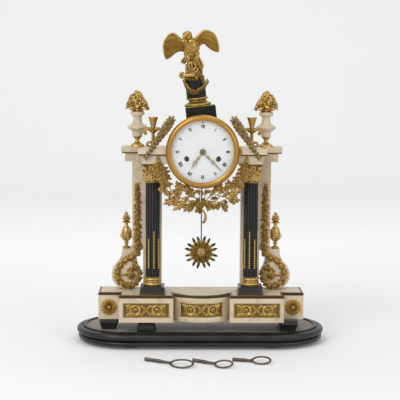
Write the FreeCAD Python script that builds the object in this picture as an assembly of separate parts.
import FreeCAD, Part
import math
import os

# Portico clock on an oval ebonised stand, in millimetres. X runs to the right, Y to the back and Z up.
# The origin is on the table, under the middle of the oval stand.

V = FreeCAD.Vector
UP = V(0, 0, 1)
BACK = V(0, 1, 0)
OVERRUN = 5.0
SEAT_GAP = 0.2
SHAFT_GAP = 0.06
ORNAMENT_GAP = 0.3

# Oval stand
stand_margin = 43.0
stand_half_depth = 98.0
stand_board_half_depth = 79.0
stand_board_top = 28.7
stand_rim_top = 31.3
bun_radius = 27.0
bun_height = 5.5
bun_x = 130.0
bun_y = 50.0

# Marble base
clock_y = -40.0
base_foot_height = 20.9
base_height = 50.1
base_half_width = 190.0
base_back = 45.3
end_front = -13.7
pedestal_front = -45.3
pedestal_inner_x = 51.8
end_width = 38.8
bow_start = -22.0
bow_front = -46.0
foot_wide = 34.5
foot_narrow = 26.0
foot_collar_height = 7.5
foot_end_inset = 19.0
foot_end_y = 5.5
foot_right_inset = 28.5
foot_right_y = -12.5
foot_pedestal_x = 101.0
foot_pedestal_y = -14.0
foot_rear_y = 25.5
bead_height = 5.5
bead_inset = 5.0
bead_reveal = 0.8
panel_recess = 3.0
panel_margin = 7.2
panel_half_height = 13.5
bow_panel_half_width = 40.0
panel_mount_gap = 0.7
rosette_radius = 15.0
rosette_depth = 3.0

# Columns
column_x = 90.0
column_y = -15.0
plinth_width = 44.0
plinth_height = 14.0
plinth_bead_width = 47.5
plinth_bead_height = 3.0
column_base_radius = 17.5
column_base_height = 16.3
shaft_radius = 13.0
shaft_height = 175.0
flute_radius = 1.9
flute_count = 16
cabling_radius = 1.5
cabling_foot = 15.5
cabling_tall = 71.0
cabling_short = 56.0
capital_height = 35.3
capital_top_width = 41.0
abacus_height = 4.5
tie_rod_radius = 3.0
tie_rod_anchor = 12.0

# Pilasters and side consoles
pilaster_inner_x = 73.5
pilaster_outer_x = 128.3
pilaster_lower_x = 108.0
pilaster_front = 8.9
pilaster_back = 40.0
pilaster_step = 84.6
garland_x = 118.0
garland_top = 202.5
garland_length = 141.0
garland_width = 13.0
garland_depth = 5.0
console_x = 139.5
console_radius = 27.5
console_front = 18.0
console_top = 76.8
console_top_width = 15.0
console_mount_depth = 5.0
console_urn_height = 70.0
console_urn_radius = 10.5

# Entablature
frieze_height = 15.5
frieze_bead_height = 2.2
cornice_height = 9.7
frieze_end_x = 141.6
frieze_end_front = 9.7
frieze_front_x = 110.3
frieze_front = -39.4
cornice_overhang = 6.8
cornice_front_overhang = 4.0
entablature_back = 43.0

# Urns on the cornice
urn_spacing = 29.5
urn_y = 22.0
urn_foot_height = 19.0
urn_foot_radius = 12.8
urn_height = 45.0
urn_radius = 18.6
bouquet_height = 41.0
bouquet_radius = 23.0

# Trophies beside the drum
torch_gap = 23.0
torch_y = -29.0
torch_height = 57.0
torch_radius = 9.0
torch_arm_length = 18.0
quiver_width = 13.0
quiver_depth = 5.0
quiver_top_angle = 51.1
quiver_top_gap = 22.7
quiver_foot_gap = 44.0
quiver_foot_drop = 15.0

# Drum, bezel and dial
drum_sink = 4.4
drum_radius = 60.0
drum_wall = 2.0
drum_front = -46.0
drum_back = 44.0
drum_seat_depth = 5.5
drum_seat_width = 7.0
drum_mouth_depth = 1.5
drum_slot_half_width = 20.0
drum_slot_depth = 8.0
bezel_overhang = 6.5
bezel_width = 10.0
bezel_depth = 8.7
bezel_gap = 0.3
glass_seat = 2.0
glass_thickness = 1.2
glass_dome = 7.5
glass_seat_share = 0.55
glass_lip_share = 0.1
dial_edge_gap = 0.6
dial_thickness = 1.5
dial_dome = 3.0
dial_centre_hole = 4.0
hinge_side_gap = 0.4
hinge_offset = 0.9
hinge_knuckle = 1.8
hinge_pin_radius = 0.9
hinge_length = 6.0
hinge_leaf = 1.6
door_depth = 4.0
door_glass_share = 0.76

# Movement. Places and mesh distances are shares of the plates' radius, from the drum's axis
plate_margin = 8.0
plate_thickness = 2.5
pillar_length = 32.5
pillar_radius = 3.0
pillar_places_share = ((-0.6, 0.6), (0.6, 0.6), (-0.18, -0.88), (0.18, -0.88))
winding_x_share = 0.562
winding_z_share = -0.252
winding_hole = 4.0
arbor_radius = 2.2
arbor_square = 3.4
thin_arbor = 1.0
centre_arbor = 1.2
barrel_teeth = 80
barrel_pinion_teeth = 10
barrel_mesh_share = 0.54
barrel_depth = 15.0
barrel_rim_depth = 2.5
intermediate_teeth = 60
centre_pinion_teeth = 10
intermediate_mesh_share = 0.35
centre_teeth = 72
third_pinion_teeth = 8
centre_mesh_share = 0.32
third_teeth = 72
escape_pinion_teeth = 6
third_mesh_share = 0.2808
escape_teeth = 35
escape_radius_share = 0.216
escape_z_share = 0.44
anchor_z_share = 0.76
wheel_thickness = 1.2
cannon_teeth = 12
minute_teeth = 36
minute_pinion_teeth = 10
hour_teeth = 40
motion_mesh_share = 0.216
cannon_radius = 2.2
hour_pipe_radius = 3.2
ratchet_radius_share = 0.16
strike_pin_circle_share = 0.172
strike_pin_radius = 0.5
strike_pin_length = 3.0
regulator_inset = 5.0
regulator_arbor = 1.3

# Hands
hour_hand_share = 0.6446
minute_hand_share = 0.8537
hour_hand_angle = 214.0
minute_hand_angle = 135.0
hand_thickness = 0.7
hand_width = 7.0
hand_gap = 1.2
hand_spacing = 1.2

# Pendulum
pendulum_y = 7.0
pendulum_rod_radius = 1.25
suspension_half_width = 0.7
bob_radius = 19.0
bob_ray_radius = 31.0
bob_ray_count = 18
bob_depth = 5.0
bob_z = 172.0

# Bell and hammer
bell_place_share = (-0.36, -0.28)
bell_radius_share = 0.48
bell_depth = 12.0
bell_wall = 1.6
bell_gap = 14.0
bell_post_radius = 2.0
hammer_place_share = (-0.75, 0.56)
hammer_head_radius = 4.0
hammer_head_gap = 0.5
hammer_arm = 1.4

# Finial, which leans to the left about the drum's axis
finial_lean = 6.3
finial_offset = 4.8
finial_y = -6.0
finial_block_width = 54.7
finial_block_depth = 48.0
finial_block_rise = 20.2
finial_base_height = 17.0
finial_base_radius = 24.0
finial_column_radius = 18.0
finial_column_height = 37.0
finial_rod_radius = 2.5
trophy_height = 26.0
trophy_radius = 15.0
eagle_height = 58.0
eagle_span = 96.0
eagle_body_radius = 13.0

# Swag under the drum
swag_depth = 3.9
swag_side_gap = 19.0
swag_top = -20.0
swag_bottom = -106.0
swag_leaf_length = 26.0
swag_leaf_width = 11.0
swag_tail_length = 24.0

# Winding keys that lie on the table in front
key_pipe_radius = 3.6
key_square = 3.7
key_bow_length = 40.0
key_bow_width = 28.0
key_bow_bar = 2.4
key_stem_radius = 2.2
key_places_share = (
    ("key_1", -0.435, -1.78, -0.077, -2.32),
    ("key_2", -0.073, -1.86, 0.215, -2.32),
    ("key_3", 0.227, -1.81, 0.515, -1.99),
)

# Sizes, levels and planes that follow from the sizes above
stand_half_length = base_half_width + stand_margin
foot_end_x = base_half_width - foot_end_inset
foot_right_x = base_half_width - foot_right_inset
pedestal_outer_x = base_half_width - end_width
rosette_x = (pedestal_outer_x + base_half_width) / 2
panel_half_width = (pedestal_outer_x - pedestal_inner_x) / 2 - panel_margin
bezel_radius = drum_radius + bezel_overhang
bezel_inner_radius = bezel_radius - bezel_width
glass_radius = bezel_inner_radius + glass_seat
dial_radius = drum_radius - drum_wall - dial_edge_gap
hour_hand_length = hour_hand_share * dial_radius
minute_hand_length = minute_hand_share * dial_radius
hinge_x = bezel_radius + hinge_knuckle + hinge_side_gap
door_radius = drum_radius - drum_wall
door_glass_radius = door_glass_share * door_radius
torch_x = bezel_radius + torch_gap
urn_x = torch_x + urn_spacing
swag_top_x = drum_radius + swag_side_gap
finial_block_top = drum_radius + finial_block_rise
plate_radius = drum_radius - drum_wall - plate_margin
drum_seat_inner = plate_radius - drum_seat_width
winding_x, winding_z = winding_x_share * plate_radius, winding_z_share * plate_radius
barrel_mesh = barrel_mesh_share * plate_radius
intermediate_mesh = intermediate_mesh_share * plate_radius
centre_mesh = centre_mesh_share * plate_radius
third_mesh = third_mesh_share * plate_radius
motion_mesh = motion_mesh_share * plate_radius
escape_radius = escape_radius_share * plate_radius
escape_z, anchor_z = escape_z_share * plate_radius, anchor_z_share * plate_radius
ratchet_radius = ratchet_radius_share * plate_radius
strike_pin_circle = strike_pin_circle_share * plate_radius
regulator_radius = drum_radius - drum_wall - regulator_inset
bell_x, bell_z = (share * plate_radius for share in bell_place_share)
bell_radius = bell_radius_share * plate_radius
hammer_x, hammer_z = (share * plate_radius for share in hammer_place_share)
pillar_places = [(x * plate_radius, z * plate_radius) for x, z in pillar_places_share]
base_bottom = stand_board_top + base_foot_height
base_top = base_bottom + base_height
shaft_foot = base_top + plinth_height + column_base_height
capital_foot = shaft_foot + shaft_height
frieze_bottom = capital_foot + capital_height
frieze_top = frieze_bottom + frieze_height
cornice_bottom = frieze_top + frieze_bead_height
cornice_top = cornice_bottom + cornice_height
drum_z = cornice_top - drum_sink
front_plate_front = clock_y + drum_front + drum_mouth_depth + drum_seat_depth
front_plate_back = front_plate_front + plate_thickness
back_plate_front = front_plate_back + pillar_length
back_plate_back = back_plate_front + plate_thickness
dial_back = clock_y + drum_front + drum_mouth_depth


def save(name, solids):
    solids = solids if isinstance(solids, list) else [solids]
    shape = solids[0] if len(solids) == 1 else Part.makeCompound(solids)
    shape.exportStep(os.path.join("parts", name + ".step"))
    print(name, len(shape.Solids), round(shape.Volume), shape.isValid())


def box(x0, x1, y0, y1, z0, z1):
    return Part.makeBox(x1 - x0, y1 - y0, z1 - z0, V(x0, y0, z0))


def rod_y(x, z, radius, y0, y1):
    return Part.makeCylinder(radius, y1 - y0, V(x, y0, z), BACK)


def rod_z(x, y, radius, z0, z1):
    return Part.makeCylinder(radius, z1 - z0, V(x, y, z0), UP)


def fuse(solids):
    return solids[0].multiFuse(solids[1:]).removeSplitter()


def mirrored(shape):
    return shape.mirror(V(0, 0, 0), V(1, 0, 0))


def both_sides(shape):
    return [mirrored(shape), shape]


def face_from(points):
    """A flat face from points; a pair (middle, end) in the list makes an arc."""
    edges = []
    here = points[0]
    for item in points[1:] + [points[0]]:
        if isinstance(item, tuple):
            edges.append(Part.Arc(here, item[0], item[1]).toShape())
            here = item[1]
        elif item.distanceToPoint(here) > 0:
            edges.append(Part.LineSegment(here, item).toShape())
            here = item
    return Part.Face(Part.Wire(edges))


def slab_xz(outline, y0, y1):
    return face_from([V(x, y0, z) for x, z in outline]).extrude(V(0, y1 - y0, 0))


def turned(x, y, z, radius, height, outline_share, smooth=False):
    """A piece turned about a vertical axis; its outline is in shares of radius and height."""
    outline = [V(r * radius, 0, h * height) for r, h in outline_share]
    foot, head = V(0, 0, outline[0].z), V(0, 0, outline[-1].z)
    if smooth:
        curve = Part.BSplineCurve()
        curve.interpolate(outline)
        edges = [curve.toShape()]
    else:
        edges = [Part.LineSegment(a, b).toShape() for a, b in zip(outline, outline[1:])]
    edges.append(Part.LineSegment(outline[-1], head).toShape())
    edges.append(Part.LineSegment(head, foot).toShape())
    edges.append(Part.LineSegment(foot, outline[0]).toShape())
    solid = Part.Face(Part.Wire(edges)).revolve(V(0, 0, 0), UP, 360)
    solid.translate(V(x, y, z))
    return solid


def arc_shell(radius, dome, thickness, y_edge):
    """A domed disc round the drum's axis, bulging to the front."""
    front = [V(0, y_edge - dome - thickness, 0), V(radius, y_edge - thickness, 0)]
    sphere = (radius * radius + dome * dome) / dome / 2
    middle = radius / 2
    sag = math.sqrt(sphere * sphere - middle * middle) - sphere + dome
    outer_mid = V(middle, y_edge - thickness - sag, 0)
    inner_mid = V(middle, y_edge - sag, 0)
    back_edge, back_centre = V(radius, y_edge, 0), V(0, y_edge - dome, 0)
    profile = face_from([front[0], (outer_mid, front[1]), back_edge, (inner_mid, back_centre)])
    solid = profile.revolve(V(0, 0, 0), BACK, 360)
    solid.translate(V(0, 0, drum_z))
    return solid


def ball(x, y, z, radius):
    return Part.makeSphere(radius, V(x, y, z))


def stadium(half_length, half_depth, z0, z1):
    straight = half_length - half_depth
    front, back = V(0, -half_depth, z0), V(0, half_depth, z0)
    right, left = V(straight, 0, 0), V(-straight, 0, 0)
    outline = [
        front + left,
        front + right,
        (V(half_length, 0, z0), back + right),
        back + left,
        (V(-half_length, 0, z0), front + left),
    ]
    return face_from(outline).extrude(V(0, 0, z1 - z0))


def base_outline(inset):
    ye, yp = clock_y + end_front + inset, clock_y + pedestal_front + inset
    yc, ym = clock_y + bow_start + inset, clock_y + bow_front + inset
    xb, xo, xi = base_half_width - inset, pedestal_outer_x - inset, pedestal_inner_x + inset
    yb = clock_y + base_back
    z = base_bottom
    return face_from([
        V(-xb, yb, z), V(-xb, ye, z), V(-xo, ye, z), V(-xo, yp, z), V(-xi, yp, z), V(-xi, yc, z),
        (V(0, ym, z), V(xi, yc, z)),
        V(xi, yp, z), V(xo, yp, z), V(xo, ye, z), V(xb, ye, z), V(xb, yb, z),
    ])


def base_prism(inset, z0, z1):
    prism = base_outline(inset).extrude(V(0, 0, z1 - z0))
    prism.translate(V(0, 0, z0 - base_bottom))
    return prism


def entablature_prism(end_x, end_front_y, front_x, front_y, z0, z1):
    ye, yp, yb = clock_y + end_front_y, clock_y + front_y, clock_y + entablature_back
    half = [
        V(0, yb, z0), V(0, yp, z0), V(front_x, yp, z0), V(front_x, ye, z0),
        V(end_x, ye, z0), V(end_x, yb, z0),
    ]
    return face_from(half).extrude(V(0, 0, z1 - z0))


def wheel(teeth, module, y0, y1, x, z, turn=0.0, hub_share=0.0, spokes=0, bore=0.0):
    """A toothed wheel about a Y axis. Its first tooth points along turn, in degrees from +X to +Z."""
    pitch_radius = teeth * module / 2
    tip, root = pitch_radius + 0.8 * module, pitch_radius - 1.2 * module
    pitch = 2 * math.pi / teeth
    flank_share = ((root, 0.29), (pitch_radius, 0.215), (tip, 0.1))
    points = []
    for tooth in range(teeth):
        centre = math.radians(turn) + tooth * pitch
        for radius, share in flank_share:
            points.append((radius, centre - share * pitch))
        for radius, share in reversed(flank_share):
            points.append((radius, centre + share * pitch))
    outline = [(x + r * math.cos(a), z + r * math.sin(a)) for r, a in points]
    blank = slab_xz(outline, y0, y1)
    if spokes:
        ring = rod_y(x, z, 0.84 * root, y0, y1).cut(rod_y(x, z, 0.3 * root, y0, y1))
        arms = []
        for arm in range(spokes):
            bar = box(x, x + root, y0, y1, z - 0.07 * root, z + 0.07 * root)
            bar.rotate(V(x, 0, z), BACK, 360 * arm / spokes)
            arms.append(bar)
        blank = blank.cut(ring.cut(fuse(arms)))
    if bore:
        blank = blank.cut(rod_y(x, z, bore, y0, y1))
    return blank


def ratchet(teeth, radius, y0, y1, x, z, depth_share=0.18):
    points = []
    for tooth in range(teeth):
        start, end = 2 * math.pi * tooth / teeth, 2 * math.pi * (tooth + 0.85) / teeth
        inner = radius * (1 - depth_share)
        points.append((x + inner * math.cos(start), z + inner * math.sin(start)))
        points.append((x + radius * math.cos(end), z + radius * math.sin(end)))
    return slab_xz(points, y0, y1)


def crossing(centre_a, radius_a, centre_b, radius_b, side):
    """One of the two points at the given distances from two centres."""
    dx, dz = centre_b[0] - centre_a[0], centre_b[1] - centre_a[1]
    span = math.hypot(dx, dz)
    along = (radius_a ** 2 - radius_b ** 2 + span ** 2) / span / 2
    across = side * math.sqrt(radius_a ** 2 - along ** 2)
    return (
        centre_a[0] + (along * dx - across * dz) / span,
        centre_a[1] + (along * dz + across * dx) / span,
    )


def mesh_turn(driver, driver_turn, driver_teeth, driven, driven_teeth):
    """The turn that puts a gap of the driven wheel against the driver's tooth, in degrees."""
    toward = math.degrees(math.atan2(driven[1] - driver[1], driven[0] - driver[0]))
    pitch_driver, pitch_driven = 360 / driver_teeth, 360 / driven_teeth
    phase = ((toward - driver_turn) / pitch_driver) % 1
    return toward + 180 + (phase - 0.5) * pitch_driven


# Movement centres in the dial's plane, as distances from the drum's axis
centre = (0.0, 0.0)
going = (winding_x, winding_z)
strike = (-winding_x, winding_z)
escape = (0.0, escape_z)
anchor_at = (0.0, anchor_z)
intermediate = crossing(centre, intermediate_mesh, going, barrel_mesh, 1)
third = crossing(centre, centre_mesh, escape, third_mesh, 1)
pin_arbor = crossing(strike, barrel_mesh, centre, math.hypot(winding_x, barrel_mesh) * 0.752, 1)
minute_arbor = (0.0, motion_mesh)
barrel_front = front_plate_back + 2 * wheel_thickness
barrel_back = barrel_front + barrel_depth
third_level = barrel_back + 0.8 * wheel_thickness
intermediate_level = third_level + 2 * wheel_thickness
centre_level = intermediate_level + 3 * wheel_thickness
escape_level = barrel_front + barrel_depth / 2
minute_level = front_plate_front - 1.6 * wheel_thickness
hour_level = minute_level - 1.9 * wheel_thickness
hour_hand_level = dial_back - dial_thickness - dial_dome - hand_gap - hand_thickness
hand_front = hour_hand_level - hand_spacing


def at_dial(point):
    return point[0], drum_z + point[1]


def plates():
    solids = []
    for y0, y1 in ((front_plate_front, front_plate_back), (back_plate_front, back_plate_back)):
        plate = rod_y(0, drum_z, plate_radius, y0, y1)
        holes = [(centre, centre_arbor), (intermediate, thin_arbor), (third, thin_arbor / 2),
                 (escape, thin_arbor / 2), (going, arbor_radius), (strike, arbor_radius),
                 (pin_arbor, thin_arbor), (anchor_at, thin_arbor), ((hammer_x, hammer_z), thin_arbor)]
        for point, radius in holes:
            x, z = at_dial(point)
            plate = plate.cut(rod_y(x, z, radius + SHAFT_GAP, y0 - OVERRUN, y1 + OVERRUN))
        for x, z in pillar_places:
            hole = rod_y(x, drum_z + z, pillar_radius / 2 + SEAT_GAP, y0 - OVERRUN, y1 + OVERRUN)
            plate = plate.cut(hole)
        solids.append(plate)
    x, z = at_dial(minute_arbor)
    post = rod_y(x, z, thin_arbor, hour_level, front_plate_front)
    solids[0] = fuse([solids[0], post])
    save("movement_plates", solids)


def pillars():
    solids = []
    for x, z in pillar_places:
        z += drum_z
        body = rod_y(x, z, pillar_radius, front_plate_back, back_plate_front)
        spigot = rod_y(x, z, pillar_radius / 2, front_plate_front, back_plate_back)
        nut = rod_y(x, z, pillar_radius, back_plate_back, back_plate_back + pillar_radius / 2)
        solids.append(fuse([body, spigot, nut]))
    save("plate_pillars", solids)


def barrels():
    module = 2 * barrel_mesh / (barrel_teeth + barrel_pinion_teeth)
    body_radius = barrel_teeth * module / 2 - 1.6 * module
    for name, point, turn in (("going_barrel", going, 0.0), ("strike_barrel", strike, 0.0)):
        x, z = at_dial(point)
        rim = wheel(barrel_teeth, module, barrel_front, barrel_front + barrel_rim_depth, x, z, turn)
        drum = rod_y(x, z, body_radius, barrel_front, barrel_back)
        hollow = rod_y(x, z, 0.92 * body_radius, barrel_front + barrel_rim_depth,
                       barrel_back - barrel_rim_depth / 2)
        bore = rod_y(x, z, arbor_radius + SHAFT_GAP, barrel_front - OVERRUN, barrel_back + OVERRUN)
        hub_hollow = rod_y(x, z, 0.3 * body_radius, barrel_front + barrel_rim_depth,
                           barrel_back - barrel_rim_depth / 2)
        spring = rod_y(x, z, 0.75 * body_radius, barrel_front + barrel_rim_depth,
                       barrel_back - barrel_rim_depth / 2).cut(hub_hollow)
        save(name, fuse([rim, drum.cut(hollow), spring]).cut(bore))
    for name, point in (("going_arbor", going), ("strike_arbor", strike)):
        x, z = at_dial(point)
        shaft = rod_y(x, z, arbor_radius, hour_level - wheel_thickness, back_plate_back)
        half = arbor_square / 2
        square = box(x - half, x + half, clock_y + drum_front - dial_dome / 3,
                     hour_level - wheel_thickness, z - half, z + half)
        click = ratchet(24, ratchet_radius, hour_level, hour_level + wheel_thickness, x, z)
        save(name, fuse([shaft, square, click]))


def arbor(point, radius, y0=None, y1=None):
    x, z = at_dial(point)
    start = front_plate_front if y0 is None else y0
    end = back_plate_back if y1 is None else y1
    return rod_y(x, z, radius, start, end)


def going_train():
    barrel_module = 2 * barrel_mesh / (barrel_teeth + barrel_pinion_teeth)
    turn = mesh_turn(going, 0.0, barrel_teeth, intermediate, barrel_pinion_teeth)
    x, z = at_dial(intermediate)
    pinion = wheel(barrel_pinion_teeth, barrel_module, barrel_front - wheel_thickness / 2,
                   intermediate_level + wheel_thickness / 2, x, z, turn)
    module = 2 * intermediate_mesh / (intermediate_teeth + centre_pinion_teeth)
    disc = wheel(intermediate_teeth, module, intermediate_level, intermediate_level + wheel_thickness,
                 x, z, 0.0, spokes=4)
    save("intermediate_wheel", fuse([pinion, disc, arbor(intermediate, thin_arbor)]))

    turn = mesh_turn(intermediate, 0.0, intermediate_teeth, centre, centre_pinion_teeth)
    x, z = at_dial(centre)
    pinion = wheel(centre_pinion_teeth, module, intermediate_level - wheel_thickness / 2,
                   centre_level + wheel_thickness / 2, x, z, turn)
    module = 2 * centre_mesh / (centre_teeth + third_pinion_teeth)
    disc = wheel(centre_teeth, module, centre_level, centre_level + wheel_thickness, x, z, 0.0, spokes=4)
    shaft = arbor(centre, centre_arbor, hand_front + hand_thickness, back_plate_back)
    save("centre_wheel", fuse([pinion, disc, shaft]))

    turn = mesh_turn(centre, 0.0, centre_teeth, third, third_pinion_teeth)
    x, z = at_dial(third)
    pinion = wheel(third_pinion_teeth, module, third_level + wheel_thickness / 2,
                   centre_level + 1.5 * wheel_thickness, x, z, turn)
    module = 2 * third_mesh / (third_teeth + escape_pinion_teeth)
    disc = wheel(third_teeth, module, third_level, third_level + wheel_thickness, x, z, 0.0, spokes=4)
    save("third_wheel", fuse([pinion, disc, arbor(third, thin_arbor / 2)]))

    turn = mesh_turn(third, 0.0, third_teeth, escape, escape_pinion_teeth)
    x, z = at_dial(escape)
    pinion = wheel(escape_pinion_teeth, module, escape_level + wheel_thickness / 2,
                   third_level + 1.5 * wheel_thickness, x, z, turn)
    disc = ratchet(escape_teeth, escape_radius, escape_level, escape_level + wheel_thickness, x, z)
    save("escape_wheel", fuse([pinion, disc, arbor(escape, thin_arbor / 2)]))


def escapement():
    x, z = at_dial(anchor_at)
    arm = anchor_z - escape_z
    reach = 0.93 * escape_radius
    drop = arm - 0.88 * escape_radius
    y0, y1 = escape_level, escape_level + wheel_thickness
    bar = 0.14 * escape_radius
    left = slab_xz([
        (x - bar, z + bar), (x + bar, z + bar), (x + reach + bar, z - drop + 2 * bar),
        (x + reach + bar, z - drop - bar), (x + reach, z - drop - bar), (x + reach - bar / 2, z - drop + bar),
        (x, z - bar), (x - reach + bar / 2, z - drop + bar), (x - reach, z - drop - bar),
        (x - reach - bar, z - drop - bar), (x - reach - bar, z - drop + 2 * bar),
    ], y0, y1)
    shaft = arbor(anchor_at, thin_arbor, front_plate_front, clock_y + pendulum_y - 3 * bar)
    crutch_y = clock_y + pendulum_y - 3 * bar
    crutch = box(x - bar / 2, x + bar / 2, crutch_y - bar, crutch_y, drum_z, z)
    prong = pendulum_rod_radius + ORNAMENT_GAP
    rod_front = clock_y + pendulum_y + prong
    fork = box(x - prong - bar, x + prong + bar, crutch_y - bar, rod_front, drum_z, drum_z + bar)
    fork = fork.cut(box(x - prong, x + prong, clock_y + pendulum_y - prong, rod_front, drum_z, drum_z + bar))
    save("anchor", fuse([left, shaft, crutch, fork]))


def strike_train():
    module = 2 * barrel_mesh / (barrel_teeth + barrel_pinion_teeth)
    turn = mesh_turn(strike, 0.0, barrel_teeth, pin_arbor, barrel_pinion_teeth)
    x, z = at_dial(pin_arbor)
    pinion = wheel(barrel_pinion_teeth, module, barrel_front - wheel_thickness / 2,
                   barrel_front + 2 * barrel_rim_depth, x, z, turn)
    disc = wheel(barrel_pinion_teeth * 6, 2 * strike_pin_circle * 1.1 / barrel_pinion_teeth / 6,
                 centre_level, centre_level + wheel_thickness, x, z, 0.0)
    pins = []
    for pin in range(10):
        angle = 2 * math.pi * pin / 10
        px, pz = x + strike_pin_circle * math.cos(angle), z + strike_pin_circle * math.sin(angle)
        pins.append(rod_y(px, pz, strike_pin_radius, centre_level,
                          centre_level + wheel_thickness + strike_pin_length))
    save("strike_wheel", fuse([pinion, disc, arbor(pin_arbor, thin_arbor)] + pins))


def motion_work():
    x, z = at_dial(centre)
    module = 2 * motion_mesh / (cannon_teeth + minute_teeth)
    slow_module = 2 * motion_mesh / (minute_pinion_teeth + hour_teeth)
    cannon_wheel = wheel(cannon_teeth, module, minute_level, minute_level + wheel_thickness, x, z, 0.0,
                         bore=centre_arbor + SHAFT_GAP)
    pipe = rod_y(x, z, cannon_radius, hand_front, minute_level + wheel_thickness)
    pipe = pipe.cut(rod_y(x, z, centre_arbor + SHAFT_GAP, hand_front - OVERRUN, front_plate_front))
    hand = hand_blade(minute_hand_length, minute_hand_angle, hand_front, 0.72)
    hub = rod_y(x, z, hand_width * 0.62, hand_front - hand_thickness, hand_front + hand_thickness)
    hub_bore = rod_y(x, z, centre_arbor + SHAFT_GAP, hand_front - OVERRUN, hand_front + OVERRUN)
    save("minute_hand", fuse([cannon_wheel, pipe, fuse([hand, hub]).cut(hub_bore)]))

    x, z = at_dial(minute_arbor)
    turn = mesh_turn(centre, 0.0, cannon_teeth, minute_arbor, minute_teeth)
    disc = wheel(minute_teeth, module, minute_level, minute_level + wheel_thickness, x, z, turn)
    pinion = wheel(minute_pinion_teeth, slow_module, hour_level, minute_level, x, z, 0.0)
    bore = rod_y(x, z, thin_arbor + SHAFT_GAP, hour_level - OVERRUN, minute_level + OVERRUN)
    save("minute_wheel", fuse([disc, pinion]).cut(bore))

    turn = mesh_turn(minute_arbor, 0.0, minute_pinion_teeth, centre, hour_teeth)
    x, z = at_dial(centre)
    disc = wheel(hour_teeth, slow_module, hour_level, hour_level + wheel_thickness, x, z, turn)
    pipe = rod_y(x, z, hour_pipe_radius, hour_hand_level, hour_level + wheel_thickness)
    bore = rod_y(x, z, cannon_radius + SHAFT_GAP, hour_hand_level - OVERRUN, minute_level)
    save("hour_wheel", fuse([disc, pipe]).cut(bore))

    hand = hand_blade(hour_hand_length, hour_hand_angle, hour_hand_level, 1.0)
    hub = rod_y(x, z, hand_width * 0.66, hour_hand_level, hour_hand_level + hand_thickness)
    bore = rod_y(x, z, hour_pipe_radius + SEAT_GAP / 2, hour_hand_level - OVERRUN, dial_back)
    save("hour_hand", fuse([hand, hub]).cut(bore))


def hand_blade(length, clock_angle, y0, width_scale):
    """A pierced hand: a narrow stalk, an open oval and a pointed tip, seen as a flat outline."""
    outline_share = (
        (0.22, 0.05), (0.35, 0.3), (0.42, 0.12), (0.5, 0.5), (0.62, 0.42), (0.7, 0.14), (0.8, 0.1),
    )
    half = hand_width * width_scale / 2
    right = [(half * w * 2, length * s) for s, w in outline_share]
    left = [(-a, b) for a, b in reversed(right)]
    stalk = [(half * 0.4, 0)] + right + [(0, length)] + left + [(-half * 0.4, 0)]
    blade = slab_xz([(a, drum_z + b) for a, b in stalk], y0, y0 + hand_thickness)
    window = slab_xz([
        (-half * 0.45, drum_z + 0.56 * length), (0, drum_z + 0.48 * length),
        (half * 0.45, drum_z + 0.56 * length), (0, drum_z + 0.66 * length),
    ], y0 - OVERRUN, y0 + OVERRUN)
    blade = blade.cut(window)
    blade.rotate(V(0, 0, drum_z), BACK, clock_angle)
    return blade


def bell_and_hammer():
    x, z = at_dial((bell_x, bell_z))
    mouth = back_plate_back + bell_gap
    rise = mouth + bell_depth
    outer = Part.makeCone(bell_radius, 0.72 * bell_radius, bell_depth, V(x, mouth, z), BACK)
    inner = Part.makeCone(bell_radius - bell_wall, 0.72 * bell_radius - bell_wall,
                          bell_depth - bell_wall, V(x, mouth, z), BACK)
    post = rod_y(x, z, bell_post_radius, back_plate_back, rise + bell_wall)
    nut = rod_y(x, z, 2 * bell_post_radius, rise, rise + bell_wall)
    save("bell", fuse([outer.cut(inner), post, nut]))

    ax, az = at_dial((hammer_x, hammer_z))
    span = math.hypot(hammer_x - bell_x, hammer_z - bell_z)
    strike_reach = bell_radius + hammer_head_gap + hammer_head_radius
    toward = math.atan2(hammer_z - bell_z, hammer_x - bell_x) + math.acos(strike_reach / span)
    hx, hz = x + strike_reach * math.cos(toward), z + strike_reach * math.sin(toward)
    head_y0, head_y1 = mouth - hammer_head_radius / 2, mouth + hammer_head_radius
    head = rod_y(hx, hz, hammer_head_radius, head_y0, head_y1)
    arm_y = mouth - hammer_head_radius / 2
    stretch = math.hypot(hx - ax, hz - az)
    bar = box(0, stretch, arm_y, arm_y + hammer_arm, -hammer_arm, hammer_arm)
    bar.rotate(V(0, 0, 0), BACK, -math.degrees(math.atan2(hz - az, hx - ax)))
    bar.translate(V(ax, 0, az))
    shaft = rod_y(ax, az, thin_arbor, front_plate_front, arm_y + hammer_arm)
    px, pz = at_dial(pin_arbor)
    tail_length = math.hypot(px - ax, pz - az) - strike_pin_circle - 3 * strike_pin_radius
    tail_y = centre_level + 2 * wheel_thickness
    tail = box(0, tail_length, tail_y, tail_y + hammer_arm, -thin_arbor, thin_arbor)
    tail.rotate(V(0, 0, 0), BACK, -math.degrees(math.atan2(pz - az, px - ax)))
    tail.translate(V(ax, 0, az))
    save("hammer", fuse([head, bar, shaft, tail]))


def suspension():
    x, z = at_dial(anchor_at)
    y0, y1 = back_plate_back, clock_y + pendulum_y + 3 * pendulum_rod_radius
    half = 3 * pendulum_rod_radius
    foot = z + 4 * thin_arbor
    head = drum_z + regulator_radius + 2 * regulator_arbor
    cock = box(x - half, x + half, y0, y1, foot, head)
    fork = box(x - half / 2, x + half / 2, y1 - 2 * half, y1, foot - OVERRUN, head - 3 * regulator_arbor)
    cock = cock.cut(fork)
    bore = rod_y(x, drum_z + regulator_radius, regulator_arbor + SHAFT_GAP, y0 - OVERRUN, y1 + OVERRUN)
    save("suspension_cock", fuse([cock.cut(bore), box(x - 3 * half, x + 3 * half, y0, y0 + half / 2,
                                                      foot, foot + 2 * half)]))
    arbor_front = clock_y + drum_front + drum_mouth_depth - dial_dome / 2
    save("regulator_arbor", rod_y(x, drum_z + regulator_radius, regulator_arbor, arbor_front,
                                  y1 + regulator_arbor))


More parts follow.
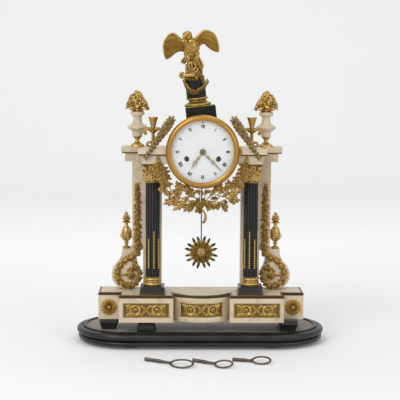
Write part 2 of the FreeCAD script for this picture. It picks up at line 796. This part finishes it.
def pendulum():
    x, z = at_dial(anchor_at)
    y = clock_y + pendulum_y
    top = drum_z + regulator_radius - regulator_arbor - ORNAMENT_GAP
    spring = box(x - suspension_half_width, x + suspension_half_width, y - pendulum_rod_radius / 4,
                 y + pendulum_rod_radius / 4, z - pendulum_rod_radius, top)
    rod = rod_z(x, y, pendulum_rod_radius, bob_z + bob_radius / 3, z)
    save("pendulum_rod", fuse([rod, spring]))
    rays = []
    for ray in range(bob_ray_count):
        length = bob_ray_radius if ray % 2 == 0 else 0.93 * bob_ray_radius
        half = 0.15 * bob_radius
        root = 0.8 * bob_radius
        outline = [(-half, root), (half, root), (0.3 * half, length), (-0.3 * half, length)]
        spike = slab_xz([(a, bob_z + b) for a, b in outline], y - bob_depth / 4, y + bob_depth / 4)
        spike.rotate(V(0, 0, bob_z), BACK, 360 * ray / bob_ray_count)
        rays.append(spike)
    disc = rod_y(0, bob_z, bob_radius, y - bob_depth / 3, y + bob_depth / 3)
    face = Part.makeCone(0.62 * bob_radius, 0.3 * bob_radius, bob_depth * 2 / 3,
                         V(0, y - bob_depth / 3, bob_z), -BACK)
    hole = rod_z(x, y, pendulum_rod_radius + SEAT_GAP, bob_z, bob_z + 2 * bob_ray_radius)
    save("pendulum_bob", fuse(rays + [disc, face]).cut(hole))


def stand():
    save("stand_feet", [
        turned(sx * bun_x, sy * bun_y, 0, bun_radius, bun_height, ((0.9, 0), (1, 0.3), (1, 0.7), (0.94, 1)))
        for sx in (-1, 1) for sy in (-1, 1)
    ])
    straight = stand_half_length - stand_half_depth
    board_half_length = straight + stand_board_half_depth
    save("stand_board", stadium(board_half_length, stand_board_half_depth, bun_height, stand_board_top))

    inner = stand_board_half_depth + SEAT_GAP
    span, rise = stand_half_depth - inner, stand_rim_top - bun_height
    profile_share = (
        (0, 0), (0.63, 0), ((0.86, 0.19), (0.63, 0.36)), (0.7, 0.41), ((1, 0.64), (0.68, 0.88)),
        (0.5, 0.91), (0.5, 0.85), (0.34, 0.85), (0.34, 0.96), (0.15, 1), (0, 0.97),
    )

    def place(share):
        return V(inner + share[0] * span, 0, bun_height + share[1] * rise)

    outline = [
        (place(item[0]), place(item[1])) if isinstance(item[0], tuple) else place(item)
        for item in profile_share
    ]
    profile = face_from(outline)
    end = profile.revolve(V(0, 0, 0), UP, 180)
    end.rotate(V(0, 0, 0), UP, -90)
    end.translate(V(straight, 0, 0))
    front = profile.copy()
    front.rotate(V(0, 0, 0), UP, -90)
    front.translate(V(-straight, 0, 0))
    front = front.extrude(V(2 * straight, 0, 0))
    back = front.mirror(V(0, 0, 0), BACK)
    save("stand_rim", fuse([end, mirrored(end), front, back]))


def tapered_foot(x, y, upside_down=False):
    """A block foot with a collar round its wide end, which is its top unless it stands upside down."""
    corners_cut_share = 0.08
    if upside_down:
        levels = ((foot_wide, stand_board_top), (foot_wide, stand_board_top + foot_collar_height),
                  (foot_narrow, base_bottom))
    else:
        levels = ((foot_narrow, stand_board_top), (foot_wide, base_bottom - foot_collar_height),
                  (foot_wide, base_bottom))
    faces = []
    for width, z in levels:
        half, cut = width / 2, width * corners_cut_share
        faces.append(Part.makePolygon([
            V(x - half + cut, y - half, z), V(x + half - cut, y - half, z), V(x + half, y - half + cut, z),
            V(x + half, y + half - cut, z), V(x + half - cut, y + half, z), V(x - half + cut, y + half, z),
            V(x - half, y + half - cut, z), V(x - half, y - half + cut, z), V(x - half + cut, y - half, z),
        ]))
    return Part.makeLoft(faces, True, True)


def base():
    body = base_prism(0, base_bottom, base_top)
    trim_bottom = base_top - bead_height
    ring = base_prism(0, trim_bottom, base_top + OVERRUN)
    ring = ring.cut(base_prism(bead_inset, trim_bottom, base_top + OVERRUN))
    body = body.cut(ring)
    middle = (base_bottom + trim_bottom) / 2
    skin = base_prism(0, middle - panel_half_height, middle + panel_half_height)
    skin = skin.cut(base_prism(panel_recess, base_bottom, base_top))
    pedestal_middle = (pedestal_inner_x + pedestal_outer_x) / 2
    front = clock_y + pedestal_front - OVERRUN
    mounts = []
    panels = [(-pedestal_middle, panel_half_width), (0, bow_panel_half_width)]
    panels.append((pedestal_middle, panel_half_width))
    for x, half in panels:
        reach = box(x - half, x + half, front, clock_y, base_bottom, base_top)
        pocket = skin.common(reach)
        body = body.cut(pocket)
        low, high = middle - panel_half_height + SEAT_GAP, middle + panel_half_height - SEAT_GAP
        plate = base_prism(panel_mount_gap, low, high).cut(base_prism(panel_recess, base_bottom, base_top))
        inner_half = half - SEAT_GAP
        mounts.append(plate.common(box(x - inner_half, x + inner_half, front, clock_y, low, high)))
    for x in (-column_x, column_x):
        hole_foot = base_top - tie_rod_anchor
        body = body.cut(rod_z(x, clock_y + column_y, tie_rod_radius + SEAT_GAP, hole_foot, base_top))
    save("base_block", body)
    save("base_friezes", mounts)

    strip = base_prism(bead_reveal, trim_bottom, base_top)
    strip = strip.cut(base_prism(bead_inset, base_bottom, base_top + OVERRUN))
    save("bead_strips", [strip] + frieze_bead() + plinth_beads())

    x, z = rosette_x, middle
    petals = []
    for petal in range(16):
        angle = 2 * math.pi * petal / 16
        px, pz = x + 0.7 * rosette_radius * math.cos(angle), z + 0.7 * rosette_radius * math.sin(angle)
        petals.append(rod_y(px, pz, 0.3 * rosette_radius, -0.7 * rosette_depth, 0))
    petals.append(rod_y(x, z, 0.7 * rosette_radius, -0.7 * rosette_depth, 0))
    knob_radius = 0.3 * rosette_radius
    petals.append(Part.makeCone(knob_radius, knob_radius / 2, rosette_depth, V(x, 0, z), -BACK))
    rosette = fuse(petals)
    rosette.translate(V(0, clock_y + end_front, 0))
    save("base_rosettes", both_sides(rosette))

    feet = [
        tapered_foot(-foot_end_x, clock_y + foot_end_y),
        tapered_foot(-foot_pedestal_x, clock_y + foot_pedestal_y, True),
        tapered_foot(-foot_pedestal_x, clock_y + foot_rear_y),
        tapered_foot(foot_right_x, clock_y + foot_right_y),
        tapered_foot(foot_right_x, clock_y + foot_rear_y),
    ]
    save("base_feet", feet)


def frieze_bead():
    out_x = cornice_overhang - frieze_bead_height / 3
    out_front = cornice_front_overhang - frieze_bead_height / 3
    strip = entablature_prism(frieze_end_x + out_x, frieze_end_front - out_front, frieze_front_x + out_x,
                              frieze_front - out_front, frieze_top, cornice_bottom)
    return [mirrored(strip.cut(drum_cutter())), strip.cut(drum_cutter())]


def plinth_beads():
    y = clock_y + column_y
    half, inner = plinth_bead_width / 2, plinth_width / 2
    x, top = column_x, base_top + plinth_bead_height
    frame = box(x - half, x + half, y - half, y + half, base_top, top)
    frame = frame.cut(box(x - inner, x + inner, y - inner, y + inner, base_top, top + OVERRUN))
    return both_sides(frame)


def drum_cutter():
    front, back = clock_y + pedestal_front - OVERRUN, clock_y + base_back + OVERRUN
    return rod_y(0, drum_z, drum_radius + SEAT_GAP, front, back)


def columns():
    x, y = column_x, clock_y + column_y
    bore = rod_z(x, y, tie_rod_radius + SEAT_GAP, base_bottom, cornice_top)
    half = plinth_width / 2
    plinth = box(x - half, x + half, y - half, y + half, base_top, base_top + plinth_height)
    save("column_plinths", both_sides(plinth.cut(bore)))

    foot = turned(x, y, base_top + plinth_height, column_base_radius, column_base_height, (
        (0.94, 0), (1, 0.1), (1, 0.3), (0.92, 0.42), (0.84, 0.5), (0.82, 0.62), (0.9, 0.7), (0.92, 0.8),
        (0.88, 0.9), (0.76, 0.94), (0.76, 1),
    ))
    save("column_bases", both_sides(foot.cut(bore)))

    shaft = rod_z(x, y, shaft_radius, shaft_foot, capital_foot)
    flutes = []
    rods = []
    for flute in range(flute_count):
        angle = 2 * math.pi * (flute - 0.5) / flute_count - math.pi / 2
        ox, oy = math.cos(angle), math.sin(angle)
        reach = shaft_radius + 0.1 * flute_radius
        flutes.append(rod_z(x + reach * ox, y + reach * oy, flute_radius, shaft_foot + flute_radius,
                            capital_foot - flute_radius))
        if flute % 2 == 0:
            height = cabling_tall if flute % 4 == 0 else cabling_short
            inset = shaft_radius - 0.1 * flute_radius
            rods.append(rod_z(x + inset * ox, y + inset * oy, cabling_radius, shaft_foot + cabling_foot,
                              shaft_foot + cabling_foot + height))
    shaft = shaft.cut(Part.makeCompound(flutes)).cut(bore)
    save("column_shafts", both_sides(shaft))
    save("column_cabling", rods + [mirrored(rod) for rod in rods])

    bell_height = capital_height - abacus_height
    bell_body = turned(x, y, capital_foot, shaft_radius, bell_height, (
        (1.04, 0), (1.12, 0.05), (1.02, 0.1), (1.18, 0.34), (1.02, 0.4), (1.28, 0.66), (1.06, 0.72),
        (1.34, 1),
    ))
    half = capital_top_width / 2
    hollow = 0.86
    z = frieze_bottom - abacus_height
    abacus = face_from([
        V(x - half, y - half, z), (V(x, y - hollow * half, z), V(x + half, y - half, z)),
        (V(x + hollow * half, y, z), V(x + half, y + half, z)),
        (V(x, y + hollow * half, z), V(x - half, y + half, z)),
        (V(x - hollow * half, y, z), V(x - half, y - half, z)),
    ]).extrude(V(0, 0, abacus_height))
    volutes = []
    for sx in (-1, 1):
        for sy in (-1, 1):
            volutes.append(ball(x + 0.72 * sx * half, y + 0.72 * sy * half, z - 0.16 * half, 0.2 * half))
    save("column_capitals", both_sides(fuse([bell_body, abacus] + volutes).cut(bore)))

    rod = rod_z(x, y, tie_rod_radius, base_top - tie_rod_anchor, frieze_bottom + tie_rod_anchor)
    finial_rod = rod_z(0, clock_y + finial_y, finial_rod_radius, drum_z + drum_radius - 3 * drum_wall,
                       drum_z + finial_block_top + finial_base_height + finial_column_height)
    save("tie_rods", both_sides(rod) + [leaned(finial_rod)])


def leaned(shape):
    leaning = shape.copy()
    leaning.rotate(V(0, 0, drum_z), BACK, -finial_lean)
    return leaning


def pilasters():
    y0, y1 = clock_y + pilaster_front, clock_y + pilaster_back
    step = base_top + pilaster_step
    lower = box(pilaster_inner_x, pilaster_lower_x, y0, y1, base_top, step)
    upper = box(pilaster_inner_x, pilaster_outer_x, y0, y1, step, frieze_bottom)
    save("pilasters", both_sides(fuse([lower, upper])))

    x = garland_x
    foot = base_top + garland_top - garland_length
    bud = garland_width / 2
    count = 12
    lobes = [box(x - bud / 2, x + bud / 2, y0 - garland_depth / 2, y0, foot, foot + garland_length)]
    for lobe in range(count):
        z = foot + bud + (garland_length - 2 * bud) * lobe / (count - 1)
        size = bud * (0.72 if lobe == count - 1 else 1 - 0.16 * (lobe % 2))
        lobes.append(rod_y(x + bud * 0.2 * (-1) ** lobe, z, size, y0 - garland_depth, y0))
    save("pilaster_garlands", both_sides(fuse(lobes)))

    cx, cz, r = console_x, base_top + console_radius, console_radius
    top = base_top + console_top
    y0 = clock_y + console_front
    top_in, top_out = cx - console_top_width / 2, cx + console_top_width / 2
    shoulder = V(cx + 0.8 * r, 0, cz + 0.6 * r)
    neck_share = 0.5
    body = face_from([
        V(pilaster_lower_x + SEAT_GAP, 0, step), V(pilaster_lower_x + SEAT_GAP, 0, step - 0.3 * r),
        V(cx - 0.92 * r, 0, cz + 1.62 * r), V(cx - 0.66 * r, 0, cz + 1.2 * r),
        V(cx - 0.8 * r, 0, cz + 0.6 * r),
        (V(cx, 0, cz - r), shoulder),
        (V(top_out + 0.14 * r, 0, cz + 1.12 * r), V(top_out, 0, top - neck_share * r / 3)),
        V(top_out, 0, top), V(top_in, 0, top), V(top_in, 0, step - neck_share * r / 2),
        V(pilaster_outer_x, 0, step),
    ]).extrude(V(0, y1 - y0, 0))
    body.translate(V(0, y0, 0))
    save("side_consoles", both_sides(body))

    ring = rod_y(cx, cz, 0.9 * r, y0 - console_mount_depth / 2, y0)
    ring = ring.cut(rod_y(cx + 0.1 * r, cz + 0.12 * r, 0.56 * r, y0 - OVERRUN, y0))
    scroll = rod_y(cx - 0.12 * r, cz - 0.2 * r, 0.42 * r, y0 - console_mount_depth, y0)
    stem = slab_xz([
        (cx - 0.62 * r, cz + 0.4 * r), (cx - 0.3 * r, cz + 0.62 * r), (cx - 0.5 * r, cz + 1.7 * r),
        (cx - 0.8 * r, cz + 1.7 * r),
    ], y0 - console_mount_depth / 2, y0)
    save("console_mounts", both_sides(fuse([ring, scroll, stem])))

    y = (y0 + y1) / 2
    urn = turned(cx, y, top, console_urn_radius, console_urn_height, (
        (0.66, 0), (0.7, 0.05), (0.32, 0.1), (0.36, 0.18), (0.9, 0.28), (1, 0.36), (0.86, 0.44), (0.4, 0.52),
        (0.34, 0.6), (0.7, 0.64), (0.8, 0.68), (0.4, 0.72), (0.55, 0.78), (0.4, 0.88), (0.1, 1),
    ))
    save("console_urns", both_sides(urn))


def entablature():
    rod_hole = rod_z(column_x, clock_y + column_y, tie_rod_radius + SEAT_GAP, frieze_bottom,
                     frieze_bottom + tie_rod_anchor + SEAT_GAP)
    frieze = entablature_prism(frieze_end_x, frieze_end_front, frieze_front_x, frieze_front,
                               frieze_bottom, frieze_top)
    save("architrave", both_sides(frieze.cut(drum_cutter()).cut(rod_hole)))
    slab = entablature_prism(frieze_end_x + cornice_overhang, frieze_end_front - cornice_front_overhang,
                             frieze_front_x + cornice_overhang, frieze_front - cornice_front_overhang,
                             cornice_bottom, cornice_top)
    save("cornice", both_sides(slab.cut(drum_cutter())))


def cornice_ornaments():
    x, y = urn_x, clock_y + urn_y
    foot = turned(x, y, cornice_top, urn_foot_radius, urn_foot_height, (
        (1, 0), (1, 0.14), (0.9, 0.22), (0.5, 0.38), (0.3, 0.52), (0.3, 0.7), (0.46, 0.86), (0.68, 1),
    ))
    z = cornice_top + urn_foot_height
    vase = turned(x, y, z, urn_radius, urn_height, (
        (0.48, 0), (0.52, 0.16), (0.6, 0.22), (0.84, 0.28), (0.97, 0.33), (1, 0.37), (0.94, 0.42),
        (0.7, 0.47), (0.5, 0.55), (0.42, 0.66), (0.43, 0.78), (0.5, 0.83), (0.66, 0.87), (0.72, 0.92),
        (0.72, 0.97), (0.66, 1),
    ))
    z += urn_height
    stem_share = ((0.5, 0), (0.62, 0.3), (0.3, 0.6), (0.1, 0.8))
    blooms = [turned(x, y, z, bouquet_radius, bouquet_height, stem_share)]
    size = 0.33 * bouquet_radius
    bloom_share = ((0, 0.78), (-0.42, 0.52), (0.42, 0.52), (0, 0.46), (0.2, 0.66), (-0.2, 0.66))
    for across, up in bloom_share:
        for depth in (-0.3, 0.3):
            bx, by = x + across * bouquet_radius, y + depth * bouquet_radius
            blooms.append(ball(bx, by, z + up * bouquet_height, size))
    for turn in range(6):
        angle = math.pi * turn / 3
        leaf = slab_xz([
            (0, 0.12 * bouquet_height), (0.3 * bouquet_radius, 0.34 * bouquet_height),
            (0.8 * bouquet_radius, 0.24 * bouquet_height), (bouquet_radius, 0.02 * bouquet_height),
            (0.6 * bouquet_radius, 0.12 * bouquet_height),
        ], -size / 2, size / 2)
        leaf.rotate(V(0, 0, 0), UP, math.degrees(angle))
        leaf.translate(V(x, y, z))
        blooms.append(leaf)
    save("cornice_urns", both_sides(vase))
    save("urn_mounts", both_sides(foot) + both_sides(fuse(blooms)))

    x, y = torch_x, clock_y + torch_y
    torch = turned(x, y, cornice_top, torch_radius, torch_height, (
        (0.6, 0), (0.6, 0.08), (0.34, 0.14), (0.34, 0.5), (0.56, 0.54), (0.56, 0.6), (0.42, 0.64),
        (0.7, 0.84), (0.96, 0.98), (1, 1),
    ))
    z = cornice_top + 0.57 * torch_height
    arm = torch_arm_length
    scroll = slab_xz([
        (x - arm, z - 0.1 * arm), (x - 0.7 * arm, z + 0.24 * arm), (x, z), (x + 0.7 * arm, z + 0.24 * arm),
        (x + arm, z - 0.1 * arm), (x + 0.7 * arm, z + 0.02 * arm), (x, z - 0.24 * arm),
        (x - 0.7 * arm, z + 0.02 * arm),
    ], y - torch_radius / 4, y + torch_radius / 4)
    front = clock_y + frieze_front - cornice_front_overhang - ORNAMENT_GAP
    reach, lean = drum_radius + quiver_top_gap, math.radians(quiver_top_angle)
    x0, z0 = reach * math.cos(lean), drum_z + reach * math.sin(lean)
    x1, z1 = drum_radius + quiver_foot_gap, drum_z - quiver_foot_drop
    length = math.hypot(x1 - x0, z1 - z0)
    ux, uz = (x1 - x0) / length, (z1 - z0) / length
    outline = []
    for along, across in ((0, 0), (0.07, 0.34), (0.2, 0.5), (0.45, 0.48), (0.7, 0.36), (0.88, 0.26), (1, 0),
                          (0.88, -0.26), (0.7, -0.36), (0.45, -0.48), (0.2, -0.5), (0.07, -0.34)):
        outline.append((x0 + along * length * ux - across * quiver_width * uz,
                        z0 + along * length * uz + across * quiver_width * ux))
    quiver = slab_xz(outline, front - quiver_depth, front)
    save("cornice_trophies", both_sides(fuse([torch, scroll])) + both_sides(quiver))


def hinge_knuckles(x, y, z, door_leaf, frame_leaf):
    """Outer knuckles for a door and a middle knuckle for its frame, with the pin between them.

    A leaf is given by the X that it reaches and its lowest and highest Y.
    """
    step = hinge_length / 2
    low, high = z - 3 * step, z + 3 * step
    bore = rod_z(x, y, hinge_pin_radius + SHAFT_GAP, low - OVERRUN, high + OVERRUN)
    door, frame = [], []
    spans = ((low, z - step, door, door_leaf), (z - step, z + step, frame, frame_leaf),
             (z + step, high, door, door_leaf))
    for bottom, top, owner, (leaf_x, y0, y1) in spans:
        bottom, top = bottom + SEAT_GAP, top - SEAT_GAP
        knuckle = rod_z(x, y, hinge_knuckle, bottom, top)
        owner.append(fuse([knuckle, box(leaf_x, x, y0, y1, bottom, top)]).cut(bore))
    pin = rod_z(x, y, hinge_pin_radius, low, high)
    return door, frame[0], pin


def drum():
    y0, y1 = clock_y + drum_front, clock_y + drum_back
    outer = rod_y(0, drum_z, drum_radius, y0, y1)
    inner_radius = drum_radius - drum_wall
    seat_back = front_plate_front
    hollow = rod_y(0, drum_z, inner_radius, y0, dial_back)
    hollow = hollow.fuse(rod_y(0, drum_z, drum_seat_inner, dial_back, seat_back))
    hollow = hollow.fuse(rod_y(0, drum_z, inner_radius, seat_back, y1))
    case = outer.cut(hollow)
    regulator_hole = rod_y(0, drum_z + regulator_radius, regulator_arbor + SHAFT_GAP, y0, seat_back + OVERRUN)
    slot_y = clock_y + pendulum_y
    slot = box(-drum_slot_half_width, drum_slot_half_width,
               slot_y - drum_slot_depth / 2, slot_y + drum_slot_depth / 2,
               drum_z - drum_radius - OVERRUN, drum_z - 0.6 * drum_radius)
    rod_hole = leaned(rod_z(0, clock_y + finial_y, finial_rod_radius + SEAT_GAP,
                            drum_z + 0.8 * drum_radius, drum_z + drum_radius + OVERRUN))
    case = case.cut(regulator_hole).cut(slot).cut(rod_hole)

    yb = y0 - bezel_gap
    hinge_y = yb + hinge_offset
    frame_x = drum_radius - drum_wall / 2
    front_door, front_frame, front_pin = hinge_knuckles(
        hinge_x, hinge_y, drum_z,
        (bezel_radius - 2 * hinge_knuckle, yb - hinge_leaf, hinge_y),
        (frame_x, hinge_y, hinge_y + hinge_leaf))
    back_y = y1 + bezel_gap
    rear_x = door_radius + 3 * drum_wall
    rear_y = back_y + hinge_knuckle
    rear_door, rear_frame, rear_pin = hinge_knuckles(
        rear_x, rear_y, drum_z,
        (door_radius - 2 * drum_wall, back_y, rear_y),
        (frame_x, y1 - hinge_leaf / 2, rear_y))
    keep_clear = rod_y(0, drum_z, frame_x, y0 - OVERRUN, y1 + 2 * hinge_knuckle)
    save("drum_case", fuse([case, front_frame.cut(keep_clear), rear_frame.cut(keep_clear)]))
    save("hinge_pins", [front_pin, rear_pin])

    profile = face_from([
        V(bezel_inner_radius, yb, 0), V(bezel_inner_radius, yb - 0.82 * bezel_depth, 0),
        (V(bezel_inner_radius + 0.4 * (bezel_radius - bezel_inner_radius), yb - bezel_depth, 0),
         V(bezel_radius - 0.12 * (bezel_radius - bezel_inner_radius), yb - 0.5 * bezel_depth, 0)),
        V(bezel_radius, yb - 0.3 * bezel_depth, 0), V(bezel_radius, yb, 0),
    ])
    ring = profile.revolve(V(0, 0, 0), BACK, 360)
    ring.translate(V(0, 0, drum_z))
    glass_back = yb - glass_seat_share * bezel_depth
    groove_front = glass_back - glass_thickness - glass_lip_share * glass_dome
    groove = rod_y(0, drum_z, glass_radius + SEAT_GAP, groove_front, glass_back + SEAT_GAP)
    ring = ring.cut(groove)
    for knuckle in front_door:
        ring = ring.fuse(knuckle)
    save("bezel", ring.removeSplitter())
    save("bezel_glass", arc_shell(glass_radius, glass_dome, glass_thickness, glass_back))

    dial = arc_shell(dial_radius, dial_dome, dial_thickness, dial_back)
    hole_front, hole_back = y0 - 2 * bezel_depth, dial_back + OVERRUN
    holes = [rod_y(0, drum_z, dial_centre_hole, hole_front, hole_back),
             rod_y(0, drum_z + regulator_radius, 1.4 * regulator_arbor, hole_front, hole_back)]
    for x in (-winding_x, winding_x):
        holes.append(rod_y(x, drum_z + winding_z, winding_hole, hole_front, hole_back))
    for hole in holes:
        dial = dial.cut(hole)
    save("dial", dial)

    door_outline = rod_y(0, drum_z, door_radius, back_y, back_y + door_depth)
    door = door_outline.cut(rod_y(0, drum_z, door_glass_radius, back_y, back_y + door_depth / 2))
    for knuckle in rear_door:
        door = door.fuse(knuckle)
    save("rear_door", door.removeSplitter())


def finial():
    y = clock_y + finial_y
    half, depth = finial_block_width / 2, finial_block_depth / 2
    left, right = finial_offset - half, finial_offset + half
    block = box(left, right, y - depth, y + depth, drum_z, drum_z + finial_block_top)
    bore = rod_z(0, y, finial_rod_radius + SEAT_GAP, drum_z, drum_z + 3 * finial_block_top)
    block = leaned(block.cut(bore))
    block = block.cut(rod_y(0, drum_z, drum_radius + SEAT_GAP, y - 2 * depth, y + 2 * depth))
    save("finial_block", [max(block.Solids, key=lambda solid: solid.BoundBox.ZMax)])

    z = drum_z + finial_block_top
    slab_half, slab = 0.96 * finial_base_radius, 0.16 * finial_base_height
    foot = box(-slab_half, slab_half, y - slab_half, y + slab_half, z, z + slab)
    torus = turned(0, y, z + slab, 0.94 * finial_base_radius, finial_base_height - slab, (
        (0.94, 0), (1, 0.14), (0.98, 0.36), (0.86, 0.48), (0.78, 0.6), (0.78, 0.74), (0.86, 0.82),
        (0.84, 0.94), (0.76, 1),
    ))
    z += finial_base_height
    column = rod_z(0, y, finial_column_radius, z, z + finial_column_height).cut(bore)
    save("finial_column", leaned(column))

    band = 0.22 * finial_column_radius
    garland = []
    steps = 17
    for step in range(steps):
        across = -1 + 2 * step / (steps - 1)
        angle = math.radians(-90 + 78 * across)
        reach = finial_column_radius + ORNAMENT_GAP + band
        drop = z + finial_column_height * (0.28 + 0.56 * across * across)
        size = band * (1.06 + 0.3 * (step % 2))
        garland.append(ball(reach * math.cos(angle), y + reach * math.sin(angle), drop, size))
    clear = rod_z(0, y, finial_column_radius + ORNAMENT_GAP, z - OVERRUN, z + 2 * finial_column_height)
    z += finial_column_height
    trophy_share = ((1, 0), (1.06, 0.2), (0.7, 0.4), (0.85, 0.62), (0.5, 1))
    trophy = turned(0, y, z, trophy_radius, trophy_height, trophy_share)
    roll_end = V(-1.75 * trophy_radius, y - 0.7 * trophy_radius, z + 0.2 * trophy_height)
    roll = Part.makeCylinder(0.26 * trophy_radius, 2.9 * trophy_radius, roll_end, V(1, 0, 0))
    save("finial_mounts", [leaned(fuse([foot, torus]).cut(bore)), leaned(fuse(garland).cut(clear)),
                           leaned(fuse([trophy, roll]).cut(bore))])

    z += trophy_height
    span, r = eagle_span / 2, eagle_body_radius
    body = turned(0, y, z, r, eagle_height, (
        (0.3, 0), (0.5, 0.06), (0.86, 0.2), (1, 0.36), (0.94, 0.52), (0.6, 0.66), (0.3, 0.72),
    ))
    head = ball(-1.3 * r, y - 0.9 * r, z + 0.84 * eagle_height, 0.5 * r)
    neck = Part.makeCylinder(0.42 * r, 0.5 * eagle_height, V(-0.3 * r, y - 0.1 * r, z + 0.4 * eagle_height),
                             V(-1.0 * r, -0.8 * r, 0.42 * eagle_height))
    beak_root = V(-1.6 * r, y - 1.1 * r, z + 0.78 * eagle_height)
    beak = Part.makeCone(0.3 * r, 0.05 * r, 0.75 * r, beak_root, V(-0.5, -0.2, -0.6))
    wing_share = (
        (0.02, 0.25), (0.35, 0.16), (0.85, 0.08), (1, 0.3), (0.95, 0.62), (0.75, 0.97), (0.5, 0.9),
        (0.12, 0.62),
    )
    wings = []
    for side in (-1, 1):
        outline = [(side * a * span, z + b * eagle_height) for a, b in wing_share]
        wings.append(slab_xz(outline, y - 0.1 * r, y + 0.4 * r))
    tail_top, tail_tip = z + 0.3 * eagle_height, z - 0.05 * eagle_height
    tail = slab_xz([(-0.6 * r, tail_top), (0.6 * r, tail_top), (1.1 * r, tail_tip), (-1.3 * r, tail_tip)],
                   y + 0.3 * r, y + 0.9 * r)
    bird = fuse([body, head, neck, beak, tail] + wings).cut(trophy)
    save("eagle", leaned(max(bird.Solids, key=lambda solid: solid.Volume)))


def swag():
    y1 = clock_y + frieze_front - ORNAMENT_GAP
    y0 = y1 - swag_depth
    drop = swag_bottom - swag_top
    path_share = (
        (1, 0.02), (0.98, 0.22), (0.94, 0.42), (0.84, 0.6), (0.68, 0.74), (0.5, 0.84), (0.3, 0.88), (0, 0.9),
    )
    path = [(a * swag_top_x * 0.96, drum_z + swag_top + b * drop) for a, b in path_share]
    solids = []
    for side in (-1, 1):
        band = swag_leaf_width * 0.24
        for (xa, za), (xb, zb) in zip(path, path[1:]):
            length = math.hypot(xb - xa, zb - za)
            nx, nz = (zb - za) / length * band, -(xb - xa) / length * band
            bar = [(xa + nx, za + nz), (xb + nx, zb + nz), (xb - nx, zb - nz), (xa - nx, za - nz)]
            solids.append(slab_xz([(side * a, b) for a, b in bar], y0 + swag_depth / 4, y1))
        for index, (x, z) in enumerate(path[:-1]):
            for turn, size in ((-38, 1.0), (0, 0.8), (42, 0.9)):
                xb, zb = path[index + 1]
                heading = math.atan2(zb - z, xb - x) + math.radians(turn)
                long, wide = swag_leaf_length * size, swag_leaf_width * size / 2
                leaf = []
                cosine, sine = math.cos(heading), math.sin(heading)
                for along, across in ((0, 0.2), (0.45, 1), (1, 0), (0.45, -1), (0, -0.2)):
                    leaf_x = x + along * long * cosine - across * wide * sine
                    leaf.append((side * leaf_x, z + along * long * sine + across * wide * cosine))
                solids.append(slab_xz(leaf, y0, y1))
        for index in range(3):
            x, z = path[0][0] - index * swag_leaf_width * 0.62, path[0][1] - index * swag_leaf_width * 0.3
            solids.append(rod_y(side * x, z, swag_leaf_width * 0.7, y0, y1))
    shell_z = drum_z - drum_radius - 2 * swag_leaf_width * 0.5
    solids.append(rod_y(0, shell_z, swag_leaf_width, y0, y1))
    third, low = swag_leaf_width / 3, path[-1][1]
    solids.append(box(-third, third, y0 + swag_depth / 4, y1, low, shell_z))
    tail = [(-third, low), (third, low), (swag_leaf_width / 2, low - swag_tail_length),
            (0, low - 0.8 * swag_tail_length)]
    solids.append(slab_xz(tail, y0, y1))
    save("swag", fuse(solids))


def keys():
    for name, xs, ys, xe, ye in key_places_share:
        x0, y0, x1, y1 = (value * stand_half_length if index % 2 == 0 else value * stand_half_depth
                          for index, value in enumerate((xs, ys, xe, ye)))
        length = math.hypot(x1 - x0, y1 - y0)
        r = key_pipe_radius
        pipe = Part.makeCylinder(r, 0.3 * length, V(0, 0, r), V(1, 0, 0))
        half = key_square / 2
        socket = box(-OVERRUN, 0.2 * length, -half, half, r - half, r + half)
        stem = Part.makeCylinder(key_stem_radius, length - key_bow_length, V(0.25 * length, 0, r), V(1, 0, 0))
        stem = stem.common(box(0, length - key_bow_length + key_bow_bar / 2, -r, r, 0, 2 * r))
        bow = stadium(key_bow_length / 2, key_bow_width / 2, r - key_bow_bar / 2, r + key_bow_bar / 2)
        rim = key_bow_bar * 1.5
        hole = stadium(key_bow_length / 2 - rim, key_bow_width / 2 - rim, 0, 2 * r)
        bow = bow.cut(hole)
        bow.translate(V(length - key_bow_length / 2, 0, 0))
        key = fuse([pipe, stem, bow]).cut(socket)
        key.rotate(V(0, 0, 0), UP, math.degrees(math.atan2(y1 - y0, x1 - x0)))
        key.translate(V(x0, y0, 0))
        save(name, key)


os.makedirs("parts", exist_ok=True)
stand()
base()
columns()
pilasters()
entablature()
cornice_ornaments()
drum()
plates()
pillars()
barrels()
going_train()
escapement()
strike_train()
motion_work()
bell_and_hammer()
suspension()
pendulum()
finial()
swag()
keys()
